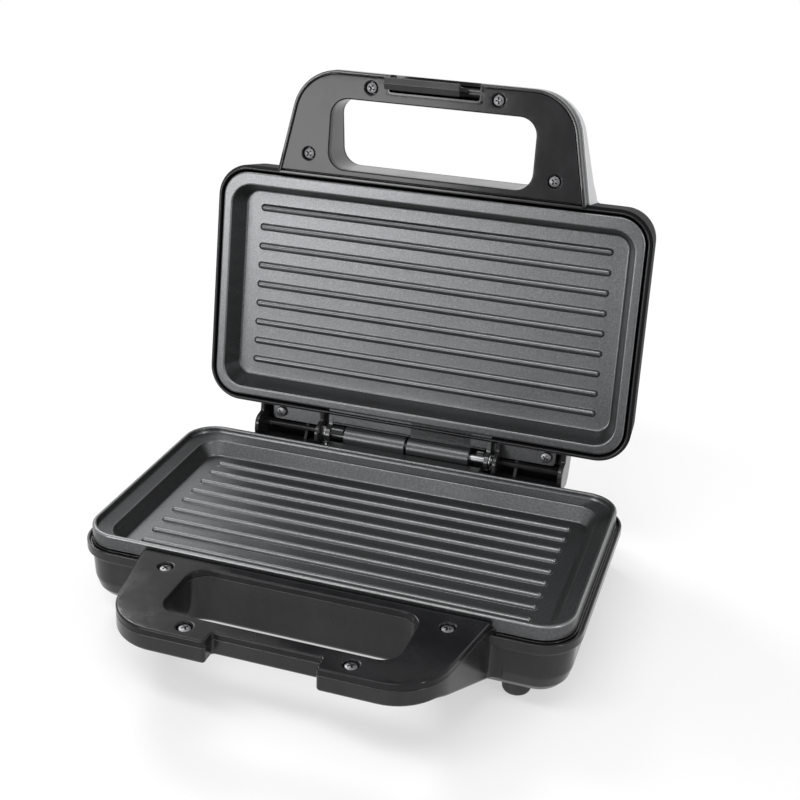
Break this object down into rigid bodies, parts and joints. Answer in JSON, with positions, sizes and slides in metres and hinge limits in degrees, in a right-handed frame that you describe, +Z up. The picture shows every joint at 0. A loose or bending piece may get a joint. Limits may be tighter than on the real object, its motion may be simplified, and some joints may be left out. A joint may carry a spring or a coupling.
{
  "type": "sandwich toaster",
  "caption": "Countertop sandwich toaster with ribbed cooking plates, a hinged lid that stands open, loop handles and a swinging latch.",
  "frame": {"origin": "centre of the bounding box at its lowest face, on the surface that the feet stand on, with the lid open as stored", "axes": "+X to the right along the hinge axis, +Y from the handle towards the hinge, +Z up"},
  "size_m": [0.238, 0.2475, 0.2411],
  "materials": {
    "casing": "black, glossy, moulded",
    "cover": "black, glossy",
    "latch": "black, satin",
    "plate": "dark non-stick coating, satin",
    "steel_panel": "brushed along the width",
    "pin_steel": "bright turned steel",
    "screw_steel": "darkened steel",
    "heater": "heat-tinted sheath",
    "reflector": "bright sheet",
    "ceramic": "pale, matt",
    "rubber": "black, matt",
    "lens_red": "clear red",
    "lens_green": "clear green",
    "board": "green laminate"
  },
  "bodies": {
    "base": {"base_casing": "casing", "base_plate": "plate", "base_element": "heater", "base_reflector": "reflector", "base_handle_cover": "cover", "base_handle_screws": "screw_steel", "base_plate_screws": "screw_steel", "thermostat": "ceramic", "thermal_fuse": "ceramic", "terminal_block": "ceramic", "cord_gland": "rubber", "foot_front_left": "rubber", "foot_front_right": "rubber", "foot_rear_left": "rubber", "foot_rear_right": "rubber", "hinge_pin": "pin_steel", "pin_rings": "pin_steel"},
    "lid": {"lid_casing": "casing", "lid_steel_panel": "steel_panel", "lid_plate": "plate", "lid_element": "heater", "lid_reflector": "reflector", "lid_handle_cover": "cover", "lid_handle_screws": "screw_steel", "lid_plate_screws": "screw_steel", "lid_ear_screws": "screw_steel", "power_lens": "lens_red", "ready_lens": "lens_green", "lamp_board": "board", "latch_pin": "pin_steel"},
    "latch": {"latch": "latch"}
  },
  "joints": [
    {"name": "lid_hinge", "type": "hinge", "parent": "base", "child": "lid", "pos_m": [0, 0.06964, 0.048], "axis": [1, 0, 0], "range_deg": [0, 98]},
    {"name": "latch_pivot", "type": "hinge", "parent": "lid", "child": "latch", "pos_m": [0, 0.09987, 0.23289], "axis": [1, 0, 0], "range_deg": [0, 8]}
  ]
}
